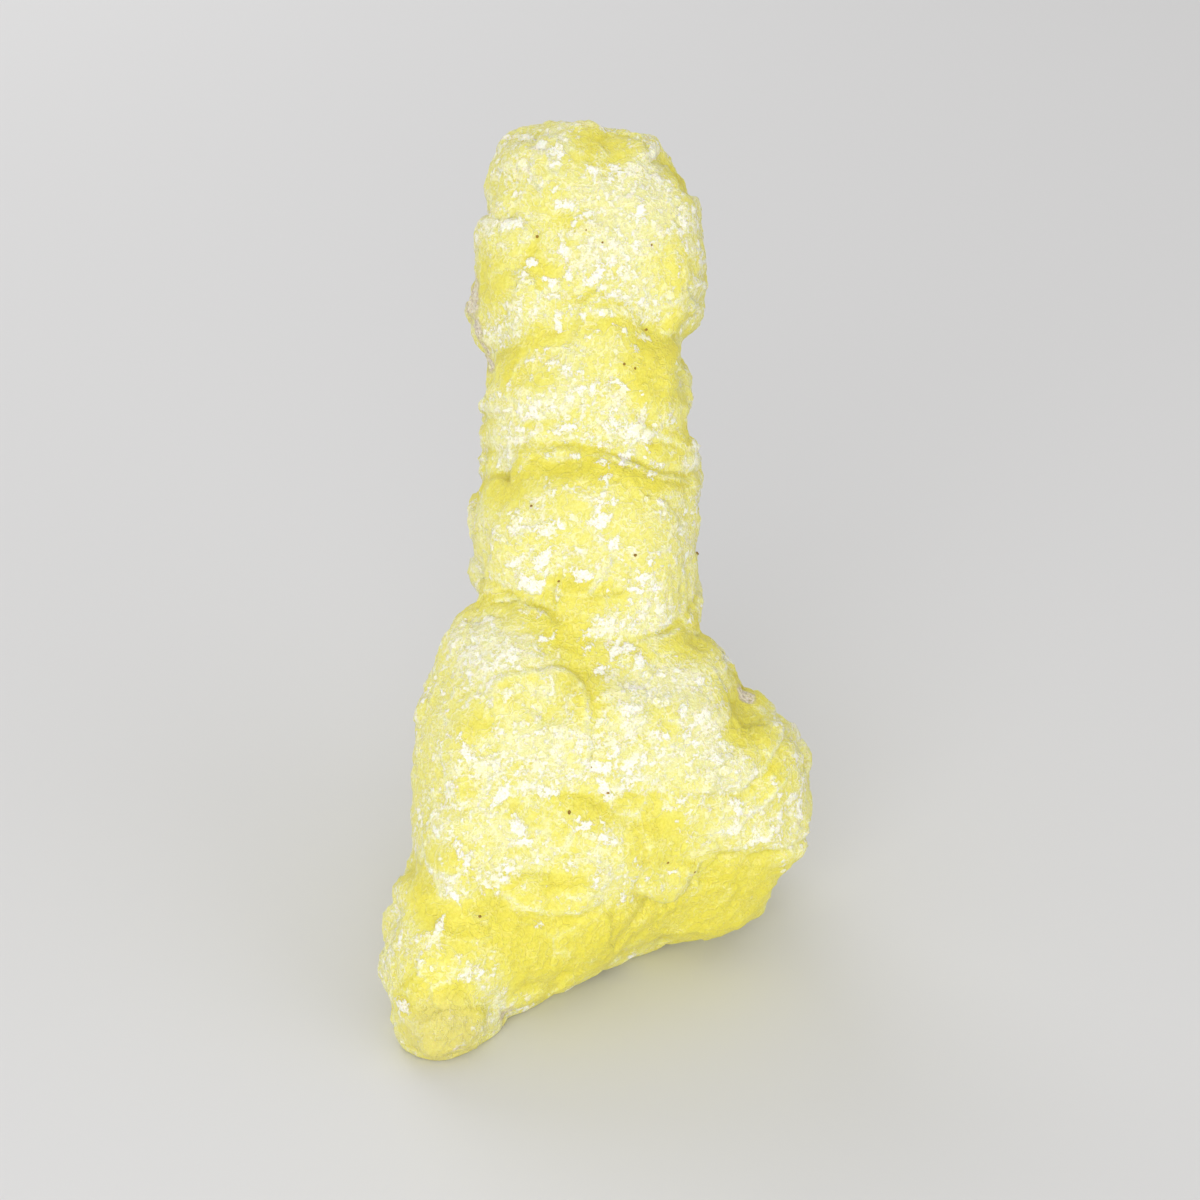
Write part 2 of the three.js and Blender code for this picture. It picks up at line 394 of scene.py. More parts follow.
# name, points, the end that runs on around the flank ("left", "right", "both" or "none"), the side that is
# raised (+1 for above the line, -1 for below it), its height, and the reach over which it sinks back
CUSHION_BROW = [(-10.5, 45.5), (-7, 48), (-2, 48.5), (2, 47.5), (6, 45.5), (9, 44)]
STEPS = [
    ("crown ledge", [(-10.5, 65.5), (-8.5, 66.5), (-6.5, 67), (-5.5, 65.5), (-7.5, 64.5)],
     "left", -1, 0.70, 3.5),
    ("crown right ledge", [(4, 71), (6, 70.5), (7, 69.5), (8, 68)], "right", -1, 0.65, 3.5),
    ("cushion brow", CUSHION_BROW, "both", -1, 0.60, 4.0),
    ("foot left brow", [(-14.5, 33), (-11.5, 35.5), (-8.5, 36), (-5.5, 35), (-2.5, 33.5)],
     "left", -1, 0.70, 4.0),
    ("foot right brow", [(-2, 33), (1, 32.5), (4, 32.5), (7, 32.5), (9.5, 32.5)], "right", -1, 0.55, 4.0),
    ("waist left hem", [(-8.5, 50.5), (-6, 50.5), (-3.5, 51.5), (0.5, 54)], "left", 1, 0.32, 4.0),
    ("waist facet edge", [(0.5, 54), (3, 51.5), (5.5, 49)], "none", -1, 0.38, 3.0),
    ("left block rim", [(-11.5, 30), (-8, 31.5), (-4, 32), (-1, 30), (-0.5, 26), (-1.5, 22.5)],
     "none", -1, 0.45, 5.0),
    ("knob brow", [(8, 21.5), (11, 21), (13.5, 20), (16, 22), (18, 23.5)], "right", 1, 0.50, 4.0),
    ("left scallop", [(-9, 15), (-7, 13), (-4.5, 12), (-1.5, 11.5), (1, 13)], "none", 1, 0.75, 4.0),
    ("right scallop", [(3, 13), (5.5, 10.5), (7.5, 10), (9.5, 14)], "none", 1, 0.75, 3.5),
    ("right hem", [(9.5, 15.5), (13.5, 13.5), (18, 13)], "right", 1, 0.60, 4.0),
]
# name, points, the end that runs on, the groove's depth or the rim's height, and its width
GROOVES = [
    ("waist groove", [(-5, 48.5), (0.5, 49), (5.5, 48.5), (9, 46)], "right", 0.25, 0.35),
    ("cushion brow line", CUSHION_BROW, "both", 0.30, 0.30),
    ("foot middle groove", [(-15.5, 21), (-11.5, 21.5), (-7, 22.5), (0.5, 21.5), (9, 21)],
     "left", 0.22, 0.40),
    ("foot low groove", [(5, 11), (3, 8.5), (1.5, 6)], "none", 0.40, 0.45),
    ("toe groove", [(-18, 6), (-13, 6.5), (-10, 4)], "left", 0.22, 0.50),
]
RIMS = [
    ("cheek rim", [(3.5, 58), (5, 59), (7, 59.5), (9.5, 60.5)], "right", 0.30, 0.30),
    ("brow line", [(-2.5, 60), (1.5, 60)], "none", 0.20, 0.25),
    ("knob second ridge", [(14.5, 17.5), (18, 20.5)], "right", 0.28, 0.32),
    ("knob third ridge", [(9.5, 16.5), (13, 17), (17, 19)], "none", 0.28, 0.32),
]


def cast_from_front(surface, x, z):
    """The surface's place and normal straight behind (x, z) in metres, or None for both beside it."""
    place, normal, _, _ = surface.ray_cast(Vector((x, -FAR, z)), Vector((0, 1, 0)))
    return place, normal


def on_front(surface, x, z):
    """The surface's place and normal straight behind (x, z) in millimetres, or the nearest where it ends
    short of that."""
    place, normal = cast_from_front(surface, x * MM, z * MM)
    if place is None:
        place, normal, _, _ = surface.find_nearest(Vector((x * MM, CENTRE[1], z * MM)))
    return place, normal


def around_flank(surface, end):
    """Places and normals that carry a line on from its end, around the side and towards the back. Around the
    column the line follows the column's lean."""
    carried = []
    outwards = math.copysign(1, end.x)
    fall = LEAN_SLOPE * smooth_step(end.z, FOOT_TOP, COLUMN_START)
    for step in range(1, int(FLANK_REACH / LINE_PITCH)):
        back = step * LINE_PITCH
        outside = Vector((outwards * FLANK_SIDE, end.y + back, end.z - fall * back))
        place, normal, _, _ = surface.ray_cast(outside, Vector((-outwards, 0, 0)))
        if place is not None:
            carried.append((place, normal))
    return carried


def rounded(values, reach=5):
    """Values along a line with their corners rounded off."""
    padded = np.concatenate([np.full(reach, values[0]), values, np.full(reach, values[-1])])
    return np.convolve(padded, np.full(2 * reach + 1, 1 / (2 * reach + 1)), mode="valid")


def traced_line(skin, points, wraps):
    """The places of a line that is drawn on the front of the skin, and the skin's normals there."""
    surface = surface_of(skin)
    corners = np.array(points, float) * MM
    lengths = np.concatenate([[0], np.cumsum(np.linalg.norm(np.diff(corners, axis=0), axis=1))])
    along = np.linspace(0, lengths[-1], max(LINE_LEAST_POINTS, int(lengths[-1] / LINE_PITCH)))
    x, z = (rounded(np.interp(along, lengths, corners[:, axis])) for axis in (0, 1))
    for values, seed in zip((x, z), LINE_WANDER_SEEDS):
        values += LINE_WANDER * smooth_noise(np.stack([x, z, x], axis=1), LINE_WANDER_SIZE, seed)
    hits = [cast_from_front(surface, *spot) for spot in zip(x, z)]
    hits = [(place, normal) for place, normal in hits if place is not None]
    if wraps in ("left", "both"):
        hits = around_flank(surface, hits[0][0])[::-1] + hits
    if wraps in ("right", "both"):
        hits = hits + around_flank(surface, hits[-1][0])
    places, normals = (np.array(part) for part in zip(*hits))
    places[:, 1] = rounded(places[:, 1])
    return places, normals


class FrontLine:
    """A line drawn on the front of the skin. For each vertex it gives the distance to the line, the side that
    it lies on, more than 0 for above, and how strong the line is there."""

    def __init__(self, skin, points, wraps):
        line, normals = traced_line(skin, points, wraps)
        up_side = np.cross(normals, np.gradient(line, axis=0))
        up_side /= np.linalg.norm(up_side, axis=1, keepdims=True)
        places = vertex_places(skin)
        inside = (places > line.min(0) - LINE_REACH) & (places < line.max(0) + LINE_REACH)
        near = np.flatnonzero(np.all(inside, axis=1))
        gaps = np.linalg.norm(places[near, None] - line[None], axis=2)
        closest = gaps.argmin(axis=1)
        self.distance = np.full(len(places), FAR)
        self.distance[near] = gaps.min(axis=1)
        self.side = np.full(len(places), FAR)
        self.side[near] = ((places[near] - line[closest]) * up_side[closest]).sum(axis=1)
        share = closest / (len(line) - 1)
        unevenness = smooth_noise(places[near], LINE_UNEVEN_SIZE, LINE_UNEVEN_SEED)
        strength = LINE_STRENGTH + LINE_UNEVENNESS * unevenness
        start = smooth_step(share, 0.0, LINE_TAPER)
        end = 1 - smooth_step(share, 1 - LINE_TAPER, 1.0)
        self.strength = np.zeros(len(places))
        self.strength[near] = strength * start * end


def draw_step(skin, points, wraps, raised_side, height, reach):
    """Raises the skin on one side of a line, and returns how near each vertex is to the raised edge."""
    line = FrontLine(skin, points, wraps)
    side = line.side * raised_side
    near = 1 - smooth_step(line.distance, STEP_FULL * reach * MM, reach * MM)
    raised = smooth_step(side, -STEP_SOFTNESS, STEP_SOFTNESS) * near
    undercut = bell(side + UNDERCUT_PLACE, UNDERCUT_WIDTH) * near
    raise_skin(skin, line.strength * height * MM * (raised - STEP_UNDERCUT * undercut))
    return line.strength * near * bell(side - STEP_EDGE_PLACE, STEP_EDGE_WIDTH)


def draw_ridge(skin, points, wraps, height, width):
    """Raises a rim along a line, or cuts a groove if the height is less than 0, and returns how near each
    vertex is to its middle."""
    line = FrontLine(skin, points, wraps)
    ridge = line.strength * bell(line.distance, width * MM)
    raise_skin(skin, ridge * height * MM)
    return ridge


def draw_front_lines(skin):
    """Cuts the steps, grooves and rims of the front, and returns how near each vertex is to a raised edge."""
    edge = np.zeros(len(skin.data.vertices))
    for _, points, wraps, raised_side, height, reach in STEPS:
        edge = np.maximum(edge, draw_step(skin, points, wraps, raised_side, height, reach))
    for _, points, wraps, depth, width in GROOVES:
        draw_ridge(skin, points, wraps, -depth, width)
    for _, points, wraps, height, width in RIMS:
        edge = np.maximum(edge, draw_ridge(skin, points, wraps, height, width))
    return edge


# ---- frosting with painted light and shade, and matrix ----
# 0 is clear, deep yellow skin and 1 is pale skin; besides real frosting this holds painted shade and painted
# light
FROST = 0.68  # of skin that lies open
# painted shade on shoulders, undersides and in hollows, and painted light near the creases, as amounts of
# paleness
SHADE_PAINTED_ON_SHOULDERS = 0.62  # on shoulders, which face up along the column
LIGHT_PAINTED_NEAR_CREASES = 0.12  # on skin that faces away from the column's top
SHADE_PAINTED_UNDERNEATH = 0.45
SHADE_PAINTED_IN_HOLLOWS = 0.35 / MM
SHOULDER = (-0.15, 0.35)  # how far skin has to face the column's top to count as a shoulder
CREASE_SHADE = (1.0 * MM, 4.0 * MM)
# how far skin has to face down to get the painted shade of an underside
UNDERSIDE_SHADE_FACING = (0.15, 0.6)
FROST_NOISES = [(0.07, 5 * MM, 8), (0.04, 1.8 * MM, 9)]  # amount, size, seed
HOLLOW_ROUNDS = 10
FROST_SPOT_FULL, FROST_SPOT_REACH = 0.4, 1.1  # in radii

# where the front is paler, or deeper yellow if the amount is less than 0, as real frosting and as painted
# light and shade: (x, z), radius, amount
FROST_AND_SHADE_SPOTS = [
    ((2.5, 68.5), 7.0, 0.30), ((5.0, 69.5), 4.0, 0.25), ((1.5, 63.0), 5.0, 0.15), ((-10, 61), 4.0, -0.35),
    ((7.5, 63), 4.0, -0.25), ((-2.0, 59), 5.0, 0.08), ((7, 57), 3.0, -0.50), ((5.5, 53.5), 4.5, -0.50),
    ((-4.5, 53.5), 4.5, 0.32), ((1, 50.5), 2.5, 0.05), ((-8.5, 47.5), 2.5, 0.30), ((-1, 47), 3.0, -0.15),
    ((4, 45.5), 3.0, -0.20), ((-0.5, 39), 7.5, -0.05), ((-9.5, 33.5), 5.5, 0.50), ((-5, 30), 4.5, 0.25),
    ((-11.5, 24.5), 4.0, 0.30), ((3, 35), 4.0, 0.22), ((4, 31), 6.0, 0.35), ((-6.5, 27), 6.0, 0.30),
    ((7, 27), 6.5, 0.35), ((16.5, 21), 4.0, -0.20), ((12.5, 22.5), 3.5, 0.30), ((-7.5, 18.5), 5.0, 0.20),
    ((6, 16.5), 4.5, -0.50), ((-4, 8), 7.0, -0.65), ((-10, 12), 4.5, -0.30), ((3, 8), 6.0, -0.65),
    ((12, 8), 8.0, -0.75), ((-14, 5), 6.5, -0.50), ((-13.5, 18), 4.5, 0.20),
]

# greyish traces of the matrix: (x, y, z), radius, strength
MATRIX_SPOTS = [
    ((-12, 15, 58.5), 2.2, 1.0), ((-11.5, 13, 56), 1.1, 1.0), ((-11, 12.5, 54), 1.1, 1.0),
    ((-10.5, 13, 52.5), 1.0, 1.0), ((14, -2.5, 25.5), 1.2, 1.0), ((-8, -21.5, 2), 1.1, 1.0),
    ((-14, -27, 3), 5.5, 0.20),
]
MATRIX_FULL, MATRIX_REACH = 0.5, 1.2  # in radii


def hollows_of(skin):
    """How far each vertex lies below the skin's own average around it, along its normal."""
    places = vertex_places(skin)
    average = np.stack([averaged(skin, places[:, axis], HOLLOW_ROUNDS) for axis in range(3)], axis=1)
    return ((average - places) * vertex_normals(skin)).sum(axis=1)


def frost_and_shade_of(skin, creases):
    """How frosted each vertex is, from 0, clear and deep yellow, to 1, pale, with painted light and shade in
    it.
    """
    places = vertex_places(skin)
    normals = vertex_normals(skin)
    shoulder = smooth_step(normals @ COLUMN_AXIS, *SHOULDER)
    near_crease = 1 - smooth_step(distance_to(creases, places), *CREASE_SHADE)
    # painted shade on the shoulders near creases, and painted light on the skin near creases that faces away
    # from the column's top
    frost_and_shade = FROST - SHADE_PAINTED_ON_SHOULDERS * near_crease * shoulder
    frost_and_shade = frost_and_shade + LIGHT_PAINTED_NEAR_CREASES * near_crease * (1 - shoulder)
    # painted shade on undersides
    frost_and_shade -= SHADE_PAINTED_UNDERNEATH * smooth_step(-normals[:, 2], *UNDERSIDE_SHADE_FACING)
    frost_and_shade += sum(amount * smooth_noise(places, size, seed) for amount, size, seed in FROST_NOISES)
    # painted shade in hollows
    frost_and_shade -= SHADE_PAINTED_IN_HOLLOWS * hollows_of(skin)
    surface = surface_of(skin)
    for (x, z), radius, amount in FROST_AND_SHADE_SPOTS:
        spot, _ = on_front(surface, x, z)
        full, reach = FROST_SPOT_FULL * radius * MM, FROST_SPOT_REACH * radius * MM
        frost_and_shade += amount * near_spot(places, spot, full, reach)
    return np.clip(frost_and_shade, 0, 1)


def matrix_of(skin):
    """How strongly each vertex is covered by traces of the greyish matrix."""
    places = vertex_places(skin)
    cover = np.zeros(len(places))
    for spot, radius, strength in MATRIX_SPOTS:
        full, reach = MATRIX_FULL * radius * MM, MATRIX_REACH * radius * MM
        cover = np.maximum(cover, strength * near_spot(places, np.array(spot) * MM, full, reach))
    return cover


# ---- flecks: frosted cleavage faces that lie in the skin ----
FLECK_COUNT = 8500
FLECK_SEED = 3
FLECK_HEIGHT = 0.07 * MM
FLECK_RISE = (-0.15 * MM, 0.2 * MM)
FLECK_CLUMPS = 4 * MM
FLECK_TURNS = 4  # how strongly flecks turn from place to place
FLECK_LENGTH = (-0.50, 0.42)  # middle and spread, as logarithms of millimetres
FLECK_LENGTH_LIMITS = (0.35, 1.8)  # in millimetres
FLECK_SLIMNESS = (0.3, 0.8)
FLECK_WHITENESS = (0.55, 0.5)  # most flecks are either bright or faint
FLECK_SIDES = 3  # pairs of sides
FLECK_SKEW = 0.5  # how far the second side of a pair is from being straight across, at most
FLECK_SIDE_DEPTH = (0.75, 1.0)  # how far out each side lies, in shares of the fleck's half size
FLECK_SURROUND = 0.7 * MM  # how far around a fleck the depths are known
PLAIN_DEPTH, PLAIN_WHITENESS = -1.0 * MM, 0.5
LARGE_FLECK_SHARE = 0.6  # of its length and width to each side of the middle, as its edge is ragged

# how flecks and flakes crowd into clumps, and how they are turned
CLUMP_SEED, FINE_CLUMP_SEED = 12, 13
FINE_CLUMPS, FINE_CLUMP_SIZE = 0.6, 0.45  # strength and size of the fine clumps, beside the broad ones
CLUMP_EDGE = (-0.3, 0.7)
LEAST_FROST, LEAST_CLUMP = 0.05, 0.12
BARE_RIM = 0.6 * MM  # nothing is laid lower than this
TURN_SEED = 14
TURN_SPREAD = 0.5

# single flecks that stand out on the front: (x, z), length, width, turn in degrees
LARGE_FLECKS = [
    ((0.5, 73.5), 1.1, 0.8, 20), ((-3.5, 72.5), 1.6, 1.2, 60), ((-0.5, 71), 1.4, 0.8, 10),
    ((2, 71), 1.2, 0.7, 70), ((-8, 66.5), 2.5, 1.3, 10), ((-3, 68.5), 2.2, 0.8, -25),
    ((-8.5, 72), 1.2, 0.8, 40), ((-2, 67), 1.7, 0.8, -50), ((0, 62.5), 2.0, 1.0, -45),
    ((-6, 63.5), 1.3, 0.9, 0), ((3.5, 65), 0.9, 0.8, 80), ((4, 68), 1.4, 1.0, 30),
    ((-1.5, 53.5), 1.3, 0.8, -60), ((-3, 50), 2.5, 0.8, 8), ((-4, 55.5), 0.8, 0.7, 0),
    ((3.5, 56.5), 0.9, 0.6, 20), ((2.5, 58), 0.9, 0.5, 0), ((7, 49.5), 1.1, 0.7, -50),
    ((-2, 48), 1.2, 0.6, 20), ((0.5, 47.5), 1.1, 0.5, -20), ((2.5, 47.5), 1.0, 0.6, -20),
    ((3.5, 47), 0.9, 0.5, -35), ((5, 46), 1.4, 0.7, -30), ((-6, 37), 2.6, 1.4, 35),
    ((-5, 39.5), 1.7, 1.2, 50), ((0.5, 43), 1.9, 0.8, -70), ((-1, 38), 1.9, 0.8, -25),
    ((3.5, 37), 1.7, 0.7, -30), ((1.5, 41), 1.6, 1.0, -60), ((-5, 33.5), 1.2, 0.8, -30),
    ((-11, 33), 1.2, 0.8, 60), ((0.5, 31), 1.7, 1.0, -50), ((4, 31.5), 1.9, 0.8, 70),
    ((3, 28.5), 1.9, 1.2, -40), ((8, 27.5), 2.0, 0.8, 65), ((6, 26), 1.2, 1.0, 0),
    ((1.5, 25), 1.7, 0.8, 60), ((4, 24), 1.4, 0.7, 60), ((0.5, 22), 1.2, 0.8, 40),
    ((-8.5, 22.5), 1.6, 1.0, 50), ((-7, 19.5), 1.9, 1.0, -40), ((-4.5, 22), 0.9, 0.7, 80),
    ((-1, 19.5), 1.4, 0.8, 20), ((0.5, 18.5), 1.1, 0.8, 0), ((-12, 18), 1.7, 0.8, 60),
    ((-13, 15), 1.4, 0.8, 60), ((-14, 12.5), 1.4, 0.7, 60), ((12.5, 28), 1.4, 0.8, 60),
    ((9.5, 29), 1.2, 0.8, 40), ((17, 18.5), 0.9, 0.7, 70), ((13, 18.5), 1.9, 1.0, 20),
    ((11, 23.5), 1.1, 0.8, 60), ((-17.5, 5.5), 1.4, 0.9, 20),
]


def frosted_picks(rng, centres, frost_and_shade, areas, count, clump_size):
    """Random picks that crowd into clumps on the frosted places."""
    clumps = smooth_noise(centres, clump_size, CLUMP_SEED)
    fine_clumps = smooth_noise(centres, FINE_CLUMP_SIZE * clump_size, FINE_CLUMP_SEED)
    crowding = LEAST_CLUMP + smooth_step(clumps + FINE_CLUMPS * fine_clumps, *CLUMP_EDGE)
    chance = areas * np.clip(frost_and_shade, LEAST_FROST, 1) ** 2 * crowding
    chance[centres[:, 2] < BARE_RIM] = 0
    return rng.choice(len(centres), count, p=chance / chance.sum())


def turns_of(rng, places, size, amount):
    """How far what is laid at each place is turned, in radians. Neighbours are turned nearly alike."""
    return smooth_noise(places, size, TURN_SEED) * amount + rng.normal(0, TURN_SPREAD, len(places))


def random_length(rng, middle_and_spread, limits):
    """A length in millimetres that is mostly short and seldom long."""
    return float(np.clip(rng.lognormal(*middle_and_spread), *limits))


def square_to(normal, crossways):
    """A direction that lies square to the normal and to another direction."""
    side = np.cross(normal, crossways)
    return side / np.linalg.norm(side)


class FleckField:
    """For each vertex of the skin, how far it lies inside the edge of a fleck (less than 0 outside), and that
    fleck's whiteness. A fleck is a flat polygon with uneven sides."""

    def __init__(self, skin):
        self.places, self.normals = vertex_places(skin), vertex_normals(skin)
        self.tree = tree_of(self.places)
        self.inside = np.full(len(self.places), PLAIN_DEPTH)
        self.whiteness = np.full(len(self.places), PLAIN_WHITENESS)

    def add(self, rng, centre, normal, half_size, turn, whiteness, on_top=False):
        half_length, half_width = half_size
        around = self.tree.find_range(centre, half_length + FLECK_SURROUND)
        found = np.array([index for _, index, _ in around])
        side = square_to(normal, (0, 1, 0))
        other = np.cross(side, normal)
        way = self.places[found] - centre
        along = way @ (side * math.cos(turn) + other * math.sin(turn))
        across = way @ (other * math.cos(turn) - side * math.sin(turn))
        directions = np.sort(rng.uniform(0, 2 * math.pi, FLECK_SIDES))
        skewed = directions + math.pi + rng.uniform(-FLECK_SKEW, FLECK_SKEW, FLECK_SIDES)
        depth = np.full(len(found), np.inf)
        for direction in np.concatenate([directions, skewed]):
            along_share, across_share = math.cos(direction), math.sin(direction)
            edge = math.hypot(half_length * along_share, half_width * across_share)
            edge = edge * rng.uniform(*FLECK_SIDE_DEPTH)
            depth = np.minimum(depth, edge - along * along_share - across * across_share)
        deeper = (depth > self.inside[found]) | (on_top & (depth > 0))
        self.inside[found[deeper]] = depth[deeper]
        self.whiteness[found[deeper]] = whiteness


def flecks_of(skin, frost_and_shade):
    """The flecks scattered over the skin, and the single ones placed on the front."""
    rng = np.random.default_rng(FLECK_SEED)
    field = FleckField(skin)
    picks = frosted_picks(rng, field.places, frost_and_shade, 1.0, FLECK_COUNT, FLECK_CLUMPS)
    turns = turns_of(rng, field.places[picks], FLECK_CLUMPS, FLECK_TURNS)
    for pick, turn in zip(picks, turns):
        half_length = 0.5 * MM * random_length(rng, FLECK_LENGTH, FLECK_LENGTH_LIMITS)
        half_size = (half_length, half_length * rng.uniform(*FLECK_SLIMNESS))
        whiteness = rng.beta(*FLECK_WHITENESS)
        field.add(rng, field.places[pick], field.normals[pick], half_size, turn, whiteness)
    surface = surface_of(skin)
    for (x, z), length, width, turn in LARGE_FLECKS:
        place, normal = on_front(surface, x, z)
        half_size = (LARGE_FLECK_SHARE * length * MM, LARGE_FLECK_SHARE * width * MM)
        field.add(rng, place, normal, half_size, math.radians(turn), 1.0, on_top=True)
    return field.inside, averaged(skin, field.whiteness, 1)


# ---- flakes: cleavage flakes that stand a little proud of the skin ----
FLAKE_COUNT = 350
FLAKE_SEED = 5
FLAKE_KINDS = 8
FLAKE_KIND_SEED = 100
FLAKE_SIDES = (5, 9)
FLAKE_BLOCK = 0.5  # depth of the block that a flake of unit length is modelled from
FLAKE_SLIMNESS = (0.45, 0.85)
FLAKE_UNEVENNESS = 0.12
FLAKE_DEPTH_SCALE = 0.30 * MM  # what a depth of 1 in the model becomes
FLAKE_LENGTH = (-0.5, 0.35)  # middle and spread, as logarithms of millimetres
FLAKE_LENGTH_LIMITS = (0.35, 1.2)  # in millimetres
FLAKE_PROUD = (0.01, 0.05)  # how far a flake's top stands out of the skin, in millimetres
FLAKE_TILT = 0.05
FLAKE_CLUMPS = 3.2 * MM
FLAKE_TURN_SIZE, FLAKE_TURNS = 3 * MM, 5
FLAKE_CROSSWAYS = (0.3, 0.9, 0.2)  # flakes are turned from a line that lies square to this and to the skin


def flake_shape(kind):
    """One flat cleavage flake of unit length, modelled as an uneven prism."""
    rng = np.random.default_rng(FLAKE_KIND_SEED + kind)
    sides = int(rng.integers(*FLAKE_SIDES))
    bpy.ops.object.select_all(action="DESELECT")
    bpy.ops.mesh.primitive_cylinder_add(vertices=sides, radius=0.5, depth=FLAKE_BLOCK, rotation=(0, 0, kind))
    flake = bpy.context.active_object
    bpy.ops.object.transform_apply(location=True, rotation=True, scale=True)
    bpy.ops.object.mode_set(mode="EDIT")
    bpy.ops.mesh.select_all(action="SELECT")
    bpy.ops.transform.resize(value=(1, rng.uniform(*FLAKE_SLIMNESS), 1))
    bpy.ops.transform.vertex_random(offset=FLAKE_UNEVENNESS, seed=kind + 1)
    bpy.ops.object.mode_set(mode="OBJECT")
    apply_modifier(flake, "TRIANGULATE")
    corners = vertex_places(flake)
    faces = [tuple(face.vertices) for face in flake.data.polygons]
    bpy.data.objects.remove(flake)
    return corners, np.array(faces)


def lay_flake(rng, shape, place, normal, angle):
    """The corners of a flake that is laid into the skin at a place, with only its top above it."""
    normal = normal + rng.normal(0, FLAKE_TILT, 3)
    normal /= np.linalg.norm(normal)
    side = square_to(normal, FLAKE_CROSSWAYS)
    other = np.cross(normal, side)
    length = MM * random_length(rng, FLAKE_LENGTH, FLAKE_LENGTH_LIMITS)
    along = side * math.cos(angle) + other * math.sin(angle)
    across = np.cross(normal, along)
    proud = rng.uniform(*FLAKE_PROUD) * MM
    centre = place - normal * (0.5 * FLAKE_BLOCK * FLAKE_DEPTH_SCALE - proud)
    local = shape * (length, length, FLAKE_DEPTH_SCALE)
    return centre + local[:, :1] * along + local[:, 1:2] * across + local[:, 2:] * normal


def scatter_flakes(skin, frost_and_shade):
    """Copies of the flakes, laid into the frosted places of the skin as one joined mesh."""
    rng = np.random.default_rng(FLAKE_SEED)
    kinds = [flake_shape(kind) for kind in range(FLAKE_KINDS)]
    quads = read_numbers(skin.data.polygons, "vertices", 4, np.int32)
    areas = read_numbers(skin.data.polygons, "area", 1, np.float32)[:, 0]
    normals = vertex_normals(skin)
    centres = vertex_places(skin)[quads].mean(axis=1)
    picks = frosted_picks(rng, centres, frost_and_shade[quads].mean(axis=1), areas, FLAKE_COUNT, FLAKE_CLUMPS)
    turns = turns_of(rng, centres[picks], FLAKE_TURN_SIZE, FLAKE_TURNS)
    corners, faces, tones, total = [], [], [], 0
    for pick, angle in zip(picks, turns):
        shape, shape_faces = kinds[rng.integers(FLAKE_KINDS)]
        corners.append(lay_flake(rng, shape, centres[pick], normals[quads[pick]].mean(axis=0), angle))
        faces.append(shape_faces + total)
        tones.append(np.full(len(shape), rng.uniform(0, 1)))
        total += len(shape)
    corners = np.clip(np.concatenate(corners), CAD_LOW, CAD_HIGH)
    mesh = bpy.data.meshes.new("pearly_flakes")
    mesh.from_pydata(corners.tolist(), [], np.concatenate(faces).tolist())
    flakes = new_object("pearly_flakes", mesh)
    paint(flakes, "whiteness", np.concatenate(tones))
    return flakes


# ---- dark grains caught in the skin: (x, z) and radius ----
DARK_GRAINS = [
    ((-5.5, 65.5), 0.17), ((4.5, 57.5), 0.18), ((2.5, 55.5), 0.17), ((3.5, 55), 0.14), ((-6, 44), 0.12),
    ((-3.5, 37.5), 0.14), ((3.5, 40), 0.16), ((-2.5, 20.5), 0.20), ((1, 21.5), 0.14), ((-0.5, 24), 0.10),
    ((-10.5, 13), 0.13), ((6.5, 14.5), 0.12), ((9, 13), 0.12), ((-1, 66.5), 0.11), ((0.5, 65.5), 0.10),
    ((5, 65), 0.11),
]
GRAIN_SEED = 9
HIDDEN_GRAIN_COUNT = 20  # on skin that faces back
HIDDEN_GRAIN_RADII = (0.10, 0.18)  # in millimetres
HIDDEN_FACING, HIDDEN_LOWEST = 0.1, 2 * MM  # how far back it faces at least, and how high it lies
GRAIN_SINK = 0.3  # in radii
GRAIN_STRETCH = (0.7, 1.3)
GRAIN_ROUGHNESS = 0.2  # in radii


def grain_spots(skin, rng):
    """The place, the skin's normal and the radius of every grain: the ones placed on the front, and a few
    more on skin that faces back."""
    surface = surface_of(skin)
    spots = [(*on_front(surface, x, z), radius * MM) for (x, z), radius in DARK_GRAINS]
    places, normals = vertex_places(skin), vertex_normals(skin)
    unseen = np.flatnonzero((normals[:, 1] > HIDDEN_FACING) & (places[:, 2] > HIDDEN_LOWEST))
    for pick in rng.choice(unseen, HIDDEN_GRAIN_COUNT):
        spots.append((Vector(places[pick]), Vector(normals[pick]), rng.uniform(*HIDDEN_GRAIN_RADII) * MM))
    return spots


def model_grain(rng, centre, radius, seed):
    bpy.ops.mesh.primitive_ico_sphere_add(subdivisions=2, radius=radius, location=centre)
    grain = bpy.context.active_object
    bpy.ops.object.mode_set(mode="EDIT")
    bpy.ops.transform.resize(value=tuple(rng.uniform(*GRAIN_STRETCH, 3)))
    bpy.ops.transform.vertex_random(offset=GRAIN_ROUGHNESS * radius, seed=seed)
    bpy.ops.object.mode_set(mode="OBJECT")
    return grain


def build_dark_grains(skin):
    """Tiny dark grains, more than half sunk in the skin."""
    rng = np.random.default_rng(GRAIN_SEED)
    spots = grain_spots(skin, rng)
    bpy.ops.object.select_all(action="DESELECT")
    grains = []
    for place, normal, radius in spots:
        centre = place - normal * GRAIN_SINK * radius
        grains.append(model_grain(rng, centre, radius, len(grains) + 1))
    for grain in grains:
        grain.select_set(True)
    bpy.ops.object.join()
    joined = bpy.context.active_object
    bpy.ops.object.transform_apply(location=True, rotation=True, scale=True)
    joined.name = joined.data.name = "dark_grains"
    return joined


